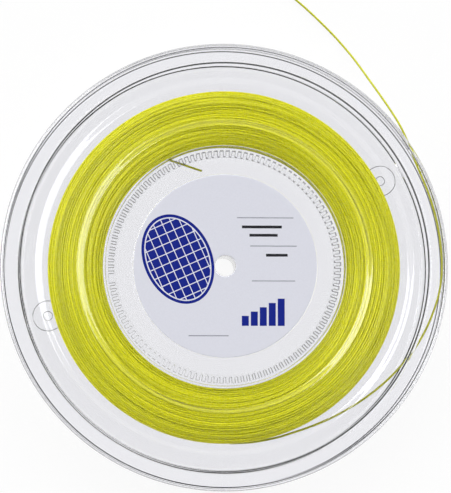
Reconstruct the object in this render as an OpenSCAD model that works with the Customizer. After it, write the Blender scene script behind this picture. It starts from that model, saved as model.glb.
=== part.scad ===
// Reel of racket string: a clear two-part casing round a clear spool that turns in it.
// It lies flat, front face up. +Z is the reel's axis and the origin is the centre of its underside.
// All sizes are in millimetres and all angles are counted from +X towards +Y.

/* [String] */
// Diameter of the string
string_d = 1.3; // [1.1:0.05:1.35]
// Turns side by side across the spool
wind_turns = 13; // [8:1:14]
// Distance between turns across the spool
turn_pitch = 1.39; // [1.35:0.01:1.5]
// Layers of string on the drum
wind_layers = 26; // [10:1:34]
// Distance between layers
layer_pitch = 1.27; // [1.2:0.01:1.4]
// Free space between the winding and each flange
wind_gap = 0.3; // [0.2:0.05:1]

/* [Spool] */
// Outer radius of the drum that the string is wound on
drum_r = 73.3; // [68:0.1:75]
// Thickness of the drum wall
drum_t = 1.4; // [1:0.1:2]
// Radius of the spool's two flanges
flange_r = 121.3; // [119:0.1:126]
// Thickness of the flanges
flange_t = 1.4; // [1:0.1:2]
// Thickness of the hub sleeve's wall
sleeve_t = 1.6; // [1.2:0.1:2.5]
// Running clearance between the hub sleeve and the centre tube
bearing_gap = 0.05; // [0.02:0.01:0.1]
// Number of tooth places round the front flange's collar
tooth_count = 120; // [90:2:132]
// Length of a tooth from root to tip
tooth_len = 4.1; // [1.5:0.1:5]
// Width of a tooth
tooth_w = 1.6; // [1:0.1:2]
// Depth of the toothed collar below the front flange
tooth_h = 8; // [3:0.5:8]
// Thickness of the collar behind the teeth
collar_t = 0.8; // [0.6:0.1:1.2]
// Tooth place that is left empty as the keyway
key_tooth = 62; // [0:1:89]
// Angle at which the string's first end goes through the drum
entry_angle = 116.8; // [90:0.1:140]
// Angle between that hole and the drum's radius
entry_slant = 44.8; // [0:0.1:50]
// Length of the string's first end inside the drum
inner_end_len = 21; // [8:0.5:30]

/* [Casing] */
// Plastic thickness of both shells
shell_t = 1.5; // [1.2:0.1:2]
// Width of the string channel between the spool and the rim wall
channel_w = 12.2; // [8:0.1:18]
// Thickness of the rim wall
wall_t = 1.5; // [1.3:0.1:2.2]
// Height by which each face steps down to the rim band
rim_step = 2; // [1:0.1:3]
// Width of the stacking lip round both faces
lip_w = 2.3; // [1.6:0.1:3]
// Height by which the lip lies behind the face
lip_drop = 0.8; // [0.2:0.1:1]
// Radius of the rounded outer corners
rim_round = 0.9; // [0.3:0.1:1.5]
// Drop of each of the two soft rings in the front face
crown_drop = 0.8; // [0.3:0.1:1]
// Radial width of a soft ring
crown_w = 5; // [4:0.5:7]
// Radius at which the inner soft ring starts
crown_inner_r = 84.5; // [70:0.5:95]
// Radius at which the outer soft ring starts
crown_outer_r = 109.5; // [102:0.5:112]
// Free height between the spool and each shell
float_gap = 0.5; // [0.3:0.1:1]
// Height of the lap joint between the two rim walls
lap_h = 1.5; // [1:0.1:2.5]

/* [Centre] */
// Radius of the centre bore
bore_r = 6.15; // [4:0.05:9]
// Wall of the centre tube
tube_t = 1.8; // [1.2:0.1:3]
// Depth of the front shell's collar over the centre tube
cap_h = 3; // [2:0.5:5]
// Wall of the front shell's collar
cap_t = 1.4; // [1:0.1:2]

/* [String guide] */
// Number of ribs in the guide
rib_count = 13; // [4:1:16]
// Angle between neighbouring ribs
rib_step = 2.67; // [2:0.01:3]
// Angle of the rib nearest the exit
rib_end = 26; // [20:1:26]
// Depth of a rib
rib_depth = 0.35; // [0.1:0.05:0.35]
// Width of a rib
rib_w = 0.6; // [0.4:0.1:1]
// Angle at which the exit slot goes through the rim wall
exit_angle = 31.4; // [31:0.1:33]
// Angle between the slot and the rim
exit_slant = 10.5; // [8:0.5:14]
// Length of the exit slot
exit_len = 22; // [20:0.5:28]
// Height of the exit slot
exit_h = 4; // [3:0.5:6]
// Width of the exit slot across the string
exit_w = 2.6; // [2.2:0.1:4]

/* [Gate pads] */
// Radius of a gate pad's shallow recess
pad_r = 9.3; // [6:0.1:10]
// Radius of the gate mark in its middle
gate_r = 2.6; // [1.5:0.1:4]
// Depth of the recess
pad_depth = 0.4; // [0.2:0.1:0.6]
// Distance of the pads from the centre
pad_at = 110.2; // [90:0.1:112]

/* [Label] */
// Radius of the label
label_r = 55; // [30:0.5:62]
// Thickness of the label
label_t = 0.3; // [0.1:0.05:0.5]
// Free width round the label in its seat
label_gap = 0.5; // [0.2:0.1:1]
// How much wider than the bore the label's hole is
label_hole_gap = 0.4; // [0.2:0.1:2]

/* [Hidden] */
$fn = 180;

cut = 1; // how far a cutting solid runs past what it cuts
fit_gap = 0.1; // clearance between parts that are pushed together
run_gap = 0.3; // clearance between parts that pass each other
step_w = 2; // radial width of the casing's step
step_gap = 0.6; // free width between the spool and the step
tip_land = 0.8; // how far the front flange reaches inside the tooth tips
lie_gap = 0.05; // free height below the string where it lies on the surface
curve_steps = 6; // points in each rounded stretch of a profile

// Winding
wind_w = (wind_turns - 1) * turn_pitch + string_d;
wind_ri = drum_r + fit_gap;
wind_ro = wind_ri + (wind_layers - 1) * layer_pitch + string_d;

// Spool
spool_z = shell_t + float_gap;
wind_z = spool_z + flange_t + wind_gap;
front_flange_z = wind_z + wind_w + wind_gap;
spool_top = front_flange_z + flange_t;
string_z = wind_z + wind_w / 2;
collar_ro = drum_r - drum_t - fit_gap;
root_r = collar_ro - collar_t;
tip_r = root_r - tooth_len;
eye_r = tip_r - tip_land;

// Casing
case_h = spool_top + float_gap + shell_t + 2 * crown_drop;
step_ri = flange_r + step_gap;
step_ro = step_ri + shell_t;
wall_ri = flange_r + channel_w;
case_r = wall_ri + wall_t;
band_top = case_h - 2 * crown_drop - rim_step;
seam_z = string_z;
lap_r = wall_ri + wall_t / 2;

// Centre
tube_ro = bore_r + tube_t;
sleeve_ri = tube_ro + bearing_gap;
sleeve_ro = sleeve_ri + sleeve_t;
thrust_h = float_gap - run_gap;
sleeve_top = case_h - shell_t - cap_h - float_gap;

// Label
label_hole_r = bore_r + label_hole_gap;

// Route of the string from the winding to the exit, at the height of the winding's middle. Each row has an
// angle, the share of the way from the winding to the ribs, and the distance beyond that, in the exit slot
RUN_ROUTE = [[-73.5, 0, 0], [-68, 0.02, 0], [-62, 0.07, 0], [-56, 0.14, 0], [-49, 0.24, 0],
    [-42, 0.36, 0], [-35, 0.49, 0], [-29, 0.6, 0], [-23, 0.72, 0], [-17, 0.82, 0], [-11, 0.905, 0],
    [-6, 0.965, 0], [-1, 0.993, 0], [5, 1, 0], [12, 1, 0], [19, 1, 0], [24, 1, 0.05], [28, 1, 0.55],
    [30.8, 1, 1.5], [33.5, 1, 2.75]];
run_ri = wind_ro + string_d / 2 + run_gap + fit_gap;
run_ro = wall_ri - rib_depth - string_d / 2 - fit_gap;
// Route of the free end, counted from where the run ends. The third value is the share of the way down
TAIL_ROUTE = [[0, 0, 0], [-1.7, 4.4, 0], [-4.2, 9.9, 0.02], [-7.4, 15.9, 0.08], [-13, 25, 0.22],
    [-18.5, 33.4, 0.4], [-24, 41.7, 0.6], [-28.3, 48.2, 0.75], [-33.4, 55.4, 0.89], [-38.9, 62.2, 0.97],
    [-44.7, 68.8, 1], [-50.9, 75.1, 1], [-58.7, 82.6, 1], [-67.1, 90, 1], [-75.9, 96.8, 1],
    [-85.3, 103, 1], [-95.1, 108.5, 1], [-105.3, 113.2, 1], [-115.9, 117.1, 1], [-126.7, 120.1, 1]];
lie_h = string_d / 2 + lie_gap; // height of the string's middle where it lies on the surface

pad_angles = [195.3, 29.3];

clear_col = [0.89, 0.89, 0.94, 0.35];
spool_col = [0.92, 0.92, 0.96, 0.4];
string_col = [0.82, 0.83, 0.14];
label_col = [0.87, 0.87, 0.9];

// Points of a soft step from height z to z - drop, over the radii r to r + w
function soft_step(r, w, z, drop) = [for (i = [0:curve_steps])
    [r + w * i / curve_steps, z - drop * (1 - cos(180 * i / curve_steps)) / 2]];

// Points of an arc about c
function arc(c, r, from, to) = [for (i = [0:curve_steps])
    let (a = from + (to - from) * i / curve_steps) c + r * [cos(a), sin(a)]];

function reversed(p) = [for (i = [len(p) - 1:-1:0]) p[i]];
function distinct(p) = [for (i = [0:len(p) - 1]) if (i == 0 || norm(p[i] - p[i - 1]) > 0.001) p[i]];
function unit(v) = v / norm(v);

// A point of the curve through p1 and p2, with p0 before them and p3 after
function on_curve(p0, p1, p2, p3, t) = p1 + t * ((p2 - p0) / 2
    + t * (p0 - 2.5 * p1 + 2 * p2 - p3 / 2 + t * (1.5 * (p1 - p2) + (p3 - p0) / 2)));

// Ring centres along a route, with so many rings to each of its stretches
function smooth_route(p, rings) = let (last = len(p) - 1) [for (i = [0:last - 1], k = [0:rings - 1])
    on_curve(p[max(i - 1, 0)], p[i], p[i + 1], p[min(i + 2, last)], k / rings), p[last]];

// Points of the two routes in space
function run_point(p) = let (r = run_ri + (run_ro - run_ri) * p[1] + p[2])
    [r * cos(p[0]), r * sin(p[0]), string_z];
function tail_point(p) = run_point(RUN_ROUTE[len(RUN_ROUTE) - 1]) + [p[0], p[1], (lie_h - string_z) * p[2]];

function tangent(p, i) = unit(p[min(i + 1, len(p) - 1)] - p[max(i - 1, 0)]);

// A round cord through ring centres p
module cord(p, d, sides = 8) {
    rings = len(p);
    points = [for (i = [0:rings - 1], k = [0:sides - 1])
        let (t = tangent(p, i), side = unit(cross(t, [0, 0, 1])), up = cross(side, t))
            p[i] + d / 2 * (cos(360 * k / sides) * side + sin(360 * k / sides) * up)];
    walls = [for (i = [0:rings - 2], k = [0:sides - 1])
        let (a = i * sides + k, b = i * sides + (k + 1) % sides) [a, b, b + sides, a + sides]];
    first_end = [for (k = [sides - 1:-1:0]) k];
    last_end = [for (k = [0:sides - 1]) (rings - 1) * sides + k];
    polyhedron(points, concat(walls, [first_end, last_end]));
}

module at_angle(radius, angle) {
    rotate(angle) translate([radius, 0, 0]) children();
}

// The slot that the string leaves through
module exit_slot() {
    at_angle((wall_ri + case_r) / 2, exit_angle)
        translate([0, 0, string_z])
            rotate(90 - exit_slant)
                cube([exit_len, exit_w, exit_h], center = true);
}

// The ribs that the string runs against, on the inside of the rim wall between two heights
module guide_ribs(low, high) {
    for (i = [0:rib_count - 1])
        at_angle(wall_ri - rib_depth, rib_end - i * rib_step)
            translate([0, -rib_w / 2, low])
                cube([rib_depth + wall_t / 4, rib_w, high - low]);
}

module back_shell() {
    ledge = rim_step + shell_t;
    lip_z = rim_step + lip_drop;
    outside = concat([[bore_r, 0]],
        soft_step(step_ro, step_w, 0, -rim_step),
        [[case_r - lip_w, rim_step], [case_r - lip_w, lip_z]],
        arc([case_r - rim_round, lip_z + rim_round], rim_round, 270, 360));
    rim_top = [[case_r, seam_z], [lap_r, seam_z], [lap_r, seam_z + lap_h], [wall_ri, seam_z + lap_h]];
    inside = concat([[wall_ri, ledge]],
        reversed(soft_step(step_ri, step_w, shell_t, -rim_step)),
        [[sleeve_ro, shell_t], [sleeve_ro, shell_t + thrust_h], [tube_ro, shell_t + thrust_h]]);
    tube_top = [[tube_ro, case_h - shell_t], [bore_r, case_h - shell_t]];
    color(clear_col)
        difference() {
            union() {
                rotate_extrude() polygon(concat(outside, rim_top, inside, tube_top));
                guide_ribs(ledge - shell_t / 4, seam_z + lap_h - run_gap);
            }
            exit_slot();
            for (a = pad_angles)
                at_angle(pad_at, a) gate_pad();
        }
}

// A shallow round recess in the underside, with the gate mark standing in it
module gate_pad() {
    difference() {
        translate([0, 0, -cut]) cylinder(r = pad_r, h = cut + pad_depth);
        cylinder(r = gate_r, h = pad_depth + cut);
    }
}

module front_shell() {
    mid_top = case_h - crown_drop;
    low_top = case_h - 2 * crown_drop;
    seat_r = label_r + label_gap;
    seat_z = case_h - label_t;
    ceiling = band_top - shell_t;
    lip_z = band_top - lip_drop;
    outside = concat([[bore_r, seat_z], [seat_r, seat_z], [seat_r, case_h]],
        soft_step(crown_inner_r, crown_w, case_h, crown_drop),
        soft_step(crown_outer_r, crown_w, mid_top, crown_drop),
        soft_step(step_ro, step_w, low_top, rim_step),
        [[case_r - lip_w, band_top], [case_r - lip_w, lip_z]],
        reversed(arc([case_r - rim_round, lip_z - rim_round], rim_round, 0, 90)));
    lap_z = seam_z + lap_h + fit_gap;
    rim_end = [[case_r, seam_z], [lap_r + fit_gap, seam_z], [lap_r + fit_gap, lap_z],
        [wall_ri, lap_z]];
    inside = concat([[wall_ri, ceiling]],
        reversed(soft_step(step_ri, step_w, low_top - shell_t, rim_step)),
        reversed(soft_step(crown_outer_r, crown_w, mid_top - shell_t, crown_drop)),
        reversed(soft_step(crown_inner_r, crown_w, case_h - shell_t, crown_drop)));
    cap_ri = tube_ro + fit_gap;
    cap = [[cap_ri + cap_t, case_h - shell_t], [cap_ri + cap_t, case_h - shell_t - cap_h],
        [cap_ri, case_h - shell_t - cap_h], [cap_ri, case_h - shell_t], [bore_r, case_h - shell_t]];
    color(clear_col)
        difference() {
            union() {
                rotate_extrude() polygon(concat(outside, rim_end, inside, cap));
                guide_ribs(lap_z + run_gap, ceiling + shell_t / 4);
            }
            exit_slot();
        }
}

module spool_back_flange() {
    color(spool_col)
        difference() {
            rotate_extrude()
                polygon([[sleeve_ri, spool_z], [flange_r, spool_z], [flange_r, spool_z + flange_t],
                    [drum_r, spool_z + flange_t], [drum_r, front_flange_z],
                    [drum_r - drum_t, front_flange_z], [drum_r - drum_t, spool_z + flange_t],
                    [sleeve_ro, spool_z + flange_t], [sleeve_ro, sleeve_top], [sleeve_ri, sleeve_top]]);
            at_entry() cube([6 * drum_t, 2 * string_d, 2 * string_d], center = true);
        }
}

// Where the string's first end goes through the drum wall, with +X along it towards the inside
module at_entry() {
    at_angle(drum_r - drum_t / 2, entry_angle)
        translate([0, 0, string_z])
            rotate(entry_slant - 180)
                children();
}

// Points round one tooth of the collar, which has straight sides and a round tip
function tooth(a) = let (w = tooth_w / 2, foot = sqrt(root_r * root_r - w * w)) [
    for (q = concat([[foot, -w]], arc([tip_r + w, 0], w, 270, 90), [[foot, w]]))
        [q[0] * cos(a) - q[1] * sin(a), q[0] * sin(a) + q[1] * cos(a)]];

module spool_front_flange() {
    pitch = 360 / tooth_count;
    toothed_outline = [for (k = [0:tooth_count - 1]) if (k != key_tooth) each tooth(k * pitch)];
    color(spool_col) {
        difference() {
            translate([0, 0, front_flange_z - tooth_h]) cylinder(r = collar_ro, h = tooth_h + flange_t / 2);
            translate([0, 0, front_flange_z - tooth_h - cut])
                linear_extrude(tooth_h + flange_t + 2 * cut) polygon(toothed_outline);
        }
        difference() {
            translate([0, 0, front_flange_z]) cylinder(r = flange_r, h = flange_t);
            translate([0, 0, front_flange_z - cut]) cylinder(r = eye_r, h = flange_t + 2 * cut);
        }
    }
}

// The part of a strand's outline that faces a, which the winding shows on that side
function strand(r, z, a) = [for (k = [-1.5:1:1.5])
    [r + string_d / 2 * cos(a + 30 * k), z + string_d / 2 * sin(a + 30 * k)]];

module string_winding() {
    first_r = wind_ri + string_d / 2;
    last_r = wind_ro - string_d / 2;
    low = wind_z + string_d / 2;
    high = low + (wind_turns - 1) * turn_pitch;
    back = [for (i = [0:wind_layers - 1]) each strand(first_r + i * layer_pitch, low, 270)];
    outer = [for (j = [0:wind_turns - 1]) each strand(last_r, low + j * turn_pitch, 0)];
    front = [for (i = [wind_layers - 1:-1:0]) each strand(first_r + i * layer_pitch, high, 90)];
    inner = [[wind_ri, high], [wind_ri, low]];
    color(string_col) rotate_extrude() polygon(distinct(concat(back, outer, front, inner)));
}

// The string's first end, inside the drum
module string_inner_end() {
    color(string_col)
        at_entry()
            translate([-drum_t / 2, 0, 0])
                rotate([0, 90, 0])
                    cylinder(d = string_d, h = inner_end_len);
}

module string_run() {
    color(string_col)
        cord(smooth_route([for (p = RUN_ROUTE) run_point(p)], 2), string_d);
}

module string_tail() {
    color(string_col)
        cord(smooth_route([for (p = TAIL_ROUTE) tail_point(p)], 2), string_d);
}

module front_label() {
    color(label_col)
        difference() {
            translate([0, 0, case_h - label_t]) cylinder(r = label_r, h = label_t);
            translate([0, 0, case_h - label_t - cut]) cylinder(r = label_hole_r, h = label_t + 2 * cut);
        }
}

back_shell();
front_shell();
spool_back_flange();
spool_front_flange();
string_winding();
string_inner_end();
string_run();
string_tail();
front_label();
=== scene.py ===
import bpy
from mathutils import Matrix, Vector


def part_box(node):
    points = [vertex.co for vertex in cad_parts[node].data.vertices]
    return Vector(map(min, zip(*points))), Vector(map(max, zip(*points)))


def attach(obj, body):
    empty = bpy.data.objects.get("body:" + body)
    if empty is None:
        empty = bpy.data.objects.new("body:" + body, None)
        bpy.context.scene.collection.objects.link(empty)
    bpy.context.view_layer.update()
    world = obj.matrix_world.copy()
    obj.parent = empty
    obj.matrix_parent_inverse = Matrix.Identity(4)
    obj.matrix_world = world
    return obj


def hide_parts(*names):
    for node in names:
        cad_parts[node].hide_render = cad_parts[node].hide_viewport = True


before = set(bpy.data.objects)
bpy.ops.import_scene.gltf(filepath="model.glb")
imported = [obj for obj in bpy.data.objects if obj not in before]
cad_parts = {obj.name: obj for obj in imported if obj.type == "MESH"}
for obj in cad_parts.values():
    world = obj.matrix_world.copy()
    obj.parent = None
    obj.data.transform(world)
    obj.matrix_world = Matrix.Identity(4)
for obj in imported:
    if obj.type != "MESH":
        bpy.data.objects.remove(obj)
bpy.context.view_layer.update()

import math
import random

import bmesh
import bpy
from mathutils import Matrix, Vector

bl_info = {
    "name": "Racket String Reel",
    "version": (1, 0, 0),
    "blender": (4, 5, 0),
    "location": "3D View > Sidebar > String Reel",
    "description": "Makes a clear cassette that holds a spool of yellow racket string",
    "category": "Add Mesh",
}

# Every length below is in millimetres. A mesh turns it to metres with MM when it is made.
MM = 0.001


def reach_of(node):
    """Outer radius of a CAD node that is centred on the axis, in metres."""
    low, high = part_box(node)
    return (high[0] - low[0]) / 2


# Sizes of the moulded parts, as in the part's source. Only the slopes of the rim, the teeth and the front
# flange's eye differ from it, by up to 1.5 mm.
# Thickness of the shells, of the spool's flanges and of the drum's wall
SHELL_T, FLANGE_T, DRUM_T = 1.5, 1.4, 1.4
# The centre tube: its bore and its outside
BORE_R, TUBE_RO = 6.15, 7.95
# The spool's sleeve, which turns on the tube, and the ring that it stands on
SLEEVE_RI, SLEEVE_RO, SLEEVE_TOP, THRUST_H = 8.0, 9.6, 21.98, 0.2
# The front shell's collar over the tube
CAP_RI, CAP_RO, CAP_H = 8.05, 9.45, 3.0
# The step down to the rim band: where it starts inside and outside the shell, its width and height, and
# how much farther out the front shell's starts
STEP_RI, STEP_RO, STEP_W, RIM_STEP, FRONT_STEP_OUT = 121.7, 122.6, 1.3, 2.0, 0.9
# The rim wall: its inside, the middle of the lap joint and the rounded outer corner
WALL_RI, LAP_R, RIM_ROUND = 133.5, 134.25, 0.9
# The stacking lip: radius and width of its bevel, and how far it drops
LIP_R, LIP_BEVEL, LIP_DROP = 132.7, 0.7, 0.8
# The seam of the two shells, the height and the clearance of their lap, and the hair's width that is left
# between clear faces that would touch
SEAM_Z, LAP_H, FIT, HAIR = 12.69, 1.5, 0.1, 0.05
# The two soft rings of the front face: drop, width and where each starts
CROWN_DROP, CROWN_W, CROWN_R = 0.8, 5.0, (84.5, 109.5)
# The label: radius of its seat, thickness and hole
SEAT_R, LABEL_T, LABEL_HOLE_R = 55.5, 0.3, 6.55
# Undersides of the back and the front flange
SPOOL_Z, FRONT_FLANGE_Z = 2.0, 21.98
# The toothed collar: radii of the flange's eye, the tips, the roots and the outside, its height, the width
# of a tooth and the tooth place that is left empty as a keyway
EYE_R, TIP_R, ROOT_R, COLLAR_RO, COLLAR_H, TOOTH_W, EMPTY_TOOTH = 65.7, 66.5, 70.2, 71.8, 8.0, 1.6, 62
# The guide's ribs: angle between two, angle of the one nearest the exit, depth and width
RIB_STEP, RIB_END, RIB_DEPTH, RIB_W = 2.67, 26.0, 0.35, 0.6
# The exit slot: its angle about the axis, its angle to the rim, and its length, width and height
EXIT_ANGLE, EXIT_SLANT, EXIT_SIZE = 31.4, 10.5, (22.0, 2.6, 4.0)
# The gate pads: angles, distance from the axis, radius, radius of the gate mark and depth
PAD_ANGLES, PAD_AT, PAD_R, GATE_R, PAD_DEPTH = (195.3, 29.3), 110.2, 9.3, 2.6, 0.4
# The string's way through the drum: angle about the axis, angle to the radius, width of the hole, length
# of the string inside and how far it stands out among the inner turns
ENTRY_ANGLE, ENTRY_SLANT, ENTRY_W, INNER_END_LEN, FIRST_END_OUT = 116.8, 44.8, 2.6, 21.0, 1.2
# The winding: where it starts, and the distances between its layers and between its turns
WIND_RI, WIND_LOW, LAYER_PITCH, TURN_PITCH = 73.4, 3.7, 1.27, 1.39

# The string's route through the casing. Each row has an angle, the share of the way from the winding to the
# ribs, and the distance beyond that
RUN_RI, RUN_RO = 107.5, 132.4
RUN_ROUTE = ((-73.5, 0, 0), (-68, 0.02, 0), (-62, 0.07, 0), (-56, 0.14, 0), (-49, 0.24, 0), (-42, 0.36, 0),
             (-35, 0.49, 0), (-29, 0.6, 0), (-23, 0.72, 0), (-17, 0.82, 0), (-11, 0.905, 0), (-6, 0.965, 0),
             (-1, 0.993, 0), (5, 1, 0), (12, 1, 0), (19, 1, 0), (24, 1, 0.05), (28, 1, 0.55), (30.8, 1, 1.5),
             (33.5, 1, 2.75))
# The free end, counted from the exit, with the share of the way down to the surface
TAIL_ROUTE = ((0, 0, 0), (-1.7, 4.4, 0), (-4.2, 9.9, 0.02), (-7.4, 15.9, 0.08), (-13, 25, 0.22),
              (-18.5, 33.4, 0.4), (-24, 41.7, 0.6), (-28.3, 48.2, 0.75), (-33.4, 55.4, 0.89),
              (-38.9, 62.2, 0.97), (-44.7, 68.8, 1), (-50.9, 75.1, 1), (-58.7, 82.6, 1), (-67.1, 90, 1),
              (-75.9, 96.8, 1), (-85.3, 103, 1), (-95.1, 108.5, 1), (-105.3, 113.2, 1), (-115.9, 117.1, 1),
              (-126.7, 120.1, 1))
LIE_Z = 0.7

# The winding's face: how far it lies below the highest turn, and how much more at its two shoulders
FACE_DROP, INNER_DROP, INNER_W, INNER_CURVE = 0.3, 3.2, 9.0, 1.3
OUTER_DROP, OUTER_W, OUTER_CURVE = 3.0, 6.0, 1.6
# How far a turn wanders outwards and upwards, inside the winding and on its face
HIDDEN_WANDER, FACE_WANDER, WANDER_LOW, WANDER_HIGH = (0.22, 0.16), (0.4, 0.6), -0.5, 0.25
# Share of the turns that sank into the layer below, and how far at most
SUNK_SHARE, SUNK_MOST = 0.35, 0.4
# Strands that cross their neighbours: number, sweep in radians, climb, lift, dive of their ends and margin
CROSSINGS, CROSS_SWEEP, CROSS_CLIMB, CROSS_LIFT = 34, (1.2, 3.6), (0.6, 2.6), (0.35, 0.6)
CROSS_DIVE, CROSS_BLUNT, CROSS_TOP, CROSS_MARGIN = 1.6, 0.35, 0.24, 1.5
# How far the side turns stay below the face
FACE_ROOM = 0.8
# The inside of the winding, below the strands of its face
CORE_DROP, CORE_OUT, CORE_STEPS = 0.45, 0.25, 24

# Points round a full turn of each piece, and round and along the string
CASING_STEPS, SPOOL_STEPS, LABEL_STEPS, PAD_STEPS, CORE_TURN = 288, 288, 240, 64, 180
FACE_STEPS, FACE_SIDES, HIDDEN_STEPS, HIDDEN_SIDES, CROSS_STEPS = 240, 10, 180, 8, 72
STRING_SIDES, ROUTE_STEPS, FIRST_END_STEPS = 16, 6, 24
# Radii of the corners that a mould leaves, and of the label's cut edge
CASING_EASE, SPOOL_EASE, COLLAR_EASE, LABEL_EASE = 0.25, 0.3, 0.12, 0.08
# Faces that meet at less than this angle show as one smooth surface
SMOOTH_ANGLE = 40
# A face is upright, sloping or flat by how far its normal points up or down
UPRIGHT, SLOPING, FLAT = 0.2, (0.3, 0.9), 0.95
# How near to a radius or a height a face's middle has to lie to be counted with it
NEAR, TOUCH = 0.3, 0.01

# Real sizes of the patterns: a swell of the melt, a rubbed patch on the string, a clump of paper fibres and
# the nap that a roller leaves
SWELL, RUB, CLUMP, NAP = 30.3, 1.11, 0.909, 4.0
# Painted shade that clear plastic shows on end, in place of the light that it bends away: at the lip, the
# drum, the front flange's faces and the teeth
LIP_PAINTED_SHADE, DRUM_PAINTED_SHADE, FLAT_PAINTED_SHADE, TOOTH_PAINTED_SHADE = "#26272C", "#8E8F80", "#C4C5C8", "#55565C"
# Share of a lamp's light that gets through one thick wall
LAMP_SHARE = (0.985, 0.985, 0.99, 1.0)
WHITE = (1.0, 1.0, 1.0, 1.0)

# The table's rings in metres, with their number of sides, and the camera's place
TABLE_RINGS, TABLE_SIDES, TABLE_Z = (0.4, 1.5, 5.0, 16.0), 96, -0.00005
CAMERA_AT = (-0.0957, -0.1212, 1.87)
# Direction that the daylight comes from
DAYLIGHT_FROM = (-0.17, 0.985, 0.0)


def linear(code):
    """An sRGB hex colour such as #FFCC00 as linear red, green, blue and alpha."""
    values = [int(code[i:i + 2], 16) / 255 for i in (1, 3, 5)]
    return (*[v / 12.92 if v <= 0.04045 else ((v + 0.055) / 1.055) ** 2.4 for v in values], 1.0)


class StringReelSizes(bpy.types.PropertyGroup):
    """Sizes of the reel that a user would change."""

    casing_radius: bpy.props.FloatProperty(
        name="Casing radius", description="Outer radius of the two shells",
        default=reach_of("back_shell"), min=0.13, max=0.14, unit="LENGTH")
    casing_height: bpy.props.FloatProperty(
        name="Casing height", description="Height of the closed casing",
        default=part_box("front_shell")[1][2], min=0.025, max=0.029, unit="LENGTH")
    flange_radius: bpy.props.FloatProperty(
        name="Flange radius", description="Outer radius of the spool's two flanges",
        default=reach_of("spool_front_flange"), min=0.115, max=0.1215, unit="LENGTH")
    drum_radius: bpy.props.FloatProperty(
        name="Drum radius", description="Radius that the string is wound on",
        default=0.0733, min=0.0731, max=0.0733, unit="LENGTH")
    label_radius: bpy.props.FloatProperty(
        name="Label radius", description="Outer radius of the paper label",
        default=reach_of("front_label"), min=0.03, max=0.0552, unit="LENGTH")
    string_diameter: bpy.props.FloatProperty(
        name="String diameter", description="Diameter of the string",
        default=0.0013, min=0.0011, max=0.00135, unit="LENGTH")
    tooth_count: bpy.props.IntProperty(
        name="Teeth", description="Tooth places round the front flange's collar",
        default=120, min=90, max=132)
    rib_count: bpy.props.IntProperty(
        name="Ribs", description="Ribs of the string guide", default=13, min=0, max=16)
    layer_count: bpy.props.IntProperty(
        name="Layers", description="Layers of string on the drum", default=26, min=10, max=26)
    turn_count: bpy.props.IntProperty(
        name="Turns", description="Turns of string side by side", default=13, min=8, max=13)


# What the colours below share
AS_COLOUR = {"subtype": "COLOR", "size": 4, "min": 0.0, "max": 1.0}


class StringReelColours(bpy.types.PropertyGroup):
    """Colours of the reel that a user would change."""

    string: bpy.props.FloatVectorProperty(
        name="String", description="Colour of the string", default=linear("#FFFD12"), **AS_COLOUR)
    string_deep: bpy.props.FloatVectorProperty(
        name="String, deep", description="Deeper shade that the wound strands vary towards",
        default=linear("#CDCE0C"), **AS_COLOUR)
    # A painted shaded copy of the string's colour, for a strand that lacks the light that wound strands give
    # each other
    string_shaded_single: bpy.props.FloatVectorProperty(
        name="String, single", description="Colour of a strand that lies on its own",
        default=linear("#BFC01C"), **AS_COLOUR)
    plastic: bpy.props.FloatVectorProperty(
        name="Casing", description="Tint of the clear casing", default=linear("#FCFCFE"), **AS_COLOUR)
    spool: bpy.props.FloatVectorProperty(
        name="Spool", description="Tint of the spool's back flange", default=linear("#FFFFFF"), **AS_COLOUR)
    web: bpy.props.FloatVectorProperty(
        name="Spool, thin", description="Tint of the spool's thin walls",
        default=linear("#FFFFFF"), **AS_COLOUR)
    paper: bpy.props.FloatVectorProperty(
        name="Paper", description="Colour of the label's paper", default=linear("#E2E3ED"), **AS_COLOUR)
    ink: bpy.props.FloatVectorProperty(
        name="Blue ink", description="Colour of the label's main print",
        default=linear("#041C88"), **AS_COLOUR)
    black_ink: bpy.props.FloatVectorProperty(
        name="Black ink", description="Colour of the label's strokes",
        default=linear("#1E1E24"), **AS_COLOUR)
    grey_ink: bpy.props.FloatVectorProperty(
        name="Grey ink", description="Colour of the label's fine rules",
        default=linear("#82848F"), **AS_COLOUR)
    floor: bpy.props.FloatVectorProperty(
        name="Floor", description="Colour of the surface below", default=linear("#FDFDFD"), **AS_COLOUR)


# ---------------------------------------------------------------- Outlines

def soft_step(r, width, z, drop, steps=14):
    """Points of an S-shaped step that goes down by drop over a radial width."""
    shares = [i / steps for i in range(steps + 1)]
    return [(r + width * t, z - drop * (1 - math.cos(math.pi * t)) / 2) for t in shares]


def arc(centre, radius, start, end, steps=8):
    """Points of an arc, with its angles in degrees."""
    angles = [math.radians(start + (end - start) * i / steps) for i in range(steps + 1)]
    return [(centre[0] + radius * math.cos(a), centre[1] + radius * math.sin(a)) for a in angles]


def eased(outline, radius, steps=3, sharp=25, most=0.45):
    """A closed outline with each sharp corner rounded, as a mould leaves it. A corner takes at most a share
    of the sides next to it."""
    made = []
    for i, corner in enumerate(outline):
        here = Vector(corner)
        back = Vector(outline[i - 1]) - here
        ahead = Vector(outline[(i + 1) % len(outline)]) - here
        opening = back.angle(ahead)
        if math.degrees(math.pi - opening) < sharp:
            made.append(tuple(here))
            continue
        reach = min(radius / math.tan(opening / 2), most * back.length, most * ahead.length)
        middle = here + (back.normalized() + ahead.normalized()).normalized() * reach / math.cos(opening / 2)
        first, last = here + back.normalized() * reach - middle, here + ahead.normalized() * reach - middle
        turn = first.angle_signed(last)
        for k in range(steps + 1):
            made.append(tuple(middle + Matrix.Rotation(-turn * k / steps, 2) @ first))
    return made


def guarded(outline, guard=0.2):
    """A closed outline with a point near both ends of each long side, which keeps a smooth corner narrow."""
    made = []
    for i, start in enumerate(outline):
        a, b = Vector(start), Vector(outline[(i + 1) % len(outline)])
        made.append(tuple(a))
        if (b - a).length > 6 * guard:
            along = (b - a).normalized() * guard
            made += [tuple(a + along), tuple(b - along)]
    return made


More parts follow.
